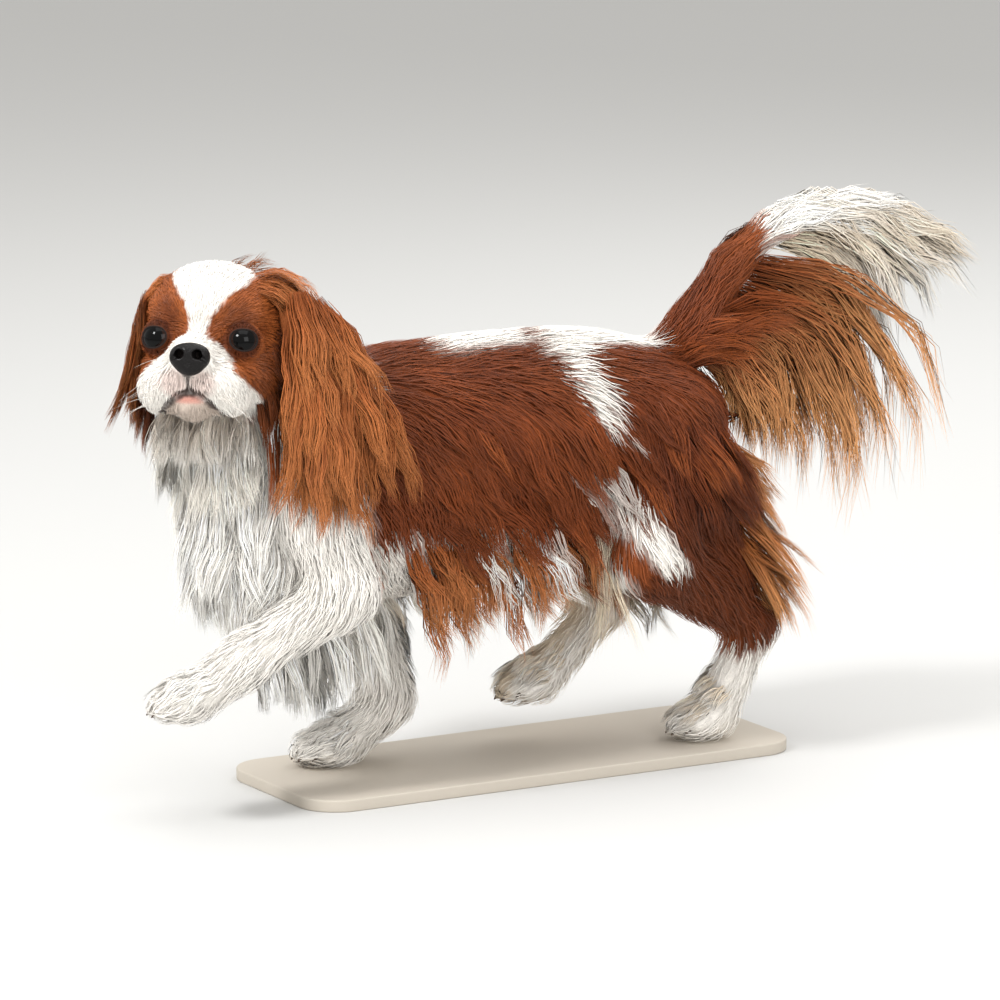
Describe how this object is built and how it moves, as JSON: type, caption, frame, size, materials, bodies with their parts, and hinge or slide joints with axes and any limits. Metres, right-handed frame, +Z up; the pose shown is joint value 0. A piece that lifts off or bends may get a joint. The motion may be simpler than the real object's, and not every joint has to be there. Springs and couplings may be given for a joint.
{
  "type": "cavalier king charles spaniel model",
  "caption": "Life-size still model of a chestnut and white toy spaniel with a long silky coat, trotting with its head turned, on a plain flat board.",
  "frame": {"origin": "the middle of the whole model's box, at the underside of the stand board", "axes": "+Z up, -Y the way the dog is going, +Y along the model's length towards the tail, +X the dog's left side"},
  "size_m": [0.2226, 0.7398, 0.4211],
  "materials": {
    "chestnut_coat": "long silky deep red-brown hair",
    "rust_coat": "long wavy orange-brown hair",
    "white_coat": "silky white hair, cream in the long fringes",
    "nose_leather": "moist black pebbled skin",
    "eye": "wet very dark brown",
    "claw": "worn horn",
    "stand_paint": "plain matt board"
  },
  "bodies": {
    "root": {"stand_board": "stand_paint", "eye_right": "eye", "eye_left": "eye", "nose": "nose_leather", "ear_left": "rust_coat", "ear_right": "rust_coat", "head": "chestnut_coat", "tail_tip": "white_coat", "tail_root": "rust_coat", "foreleg_left_paw": "white_coat", "foreleg_left": "white_coat", "foreleg_right_paw": "white_coat", "foreleg_right": "white_coat", "hindleg_left_paw": "white_coat", "hindleg_left": "chestnut_coat", "hindleg_right_paw": "white_coat", "hindleg_right": "chestnut_coat", "neck": "chestnut_coat", "torso": "chestnut_coat"}
  },
  "joints": []
}
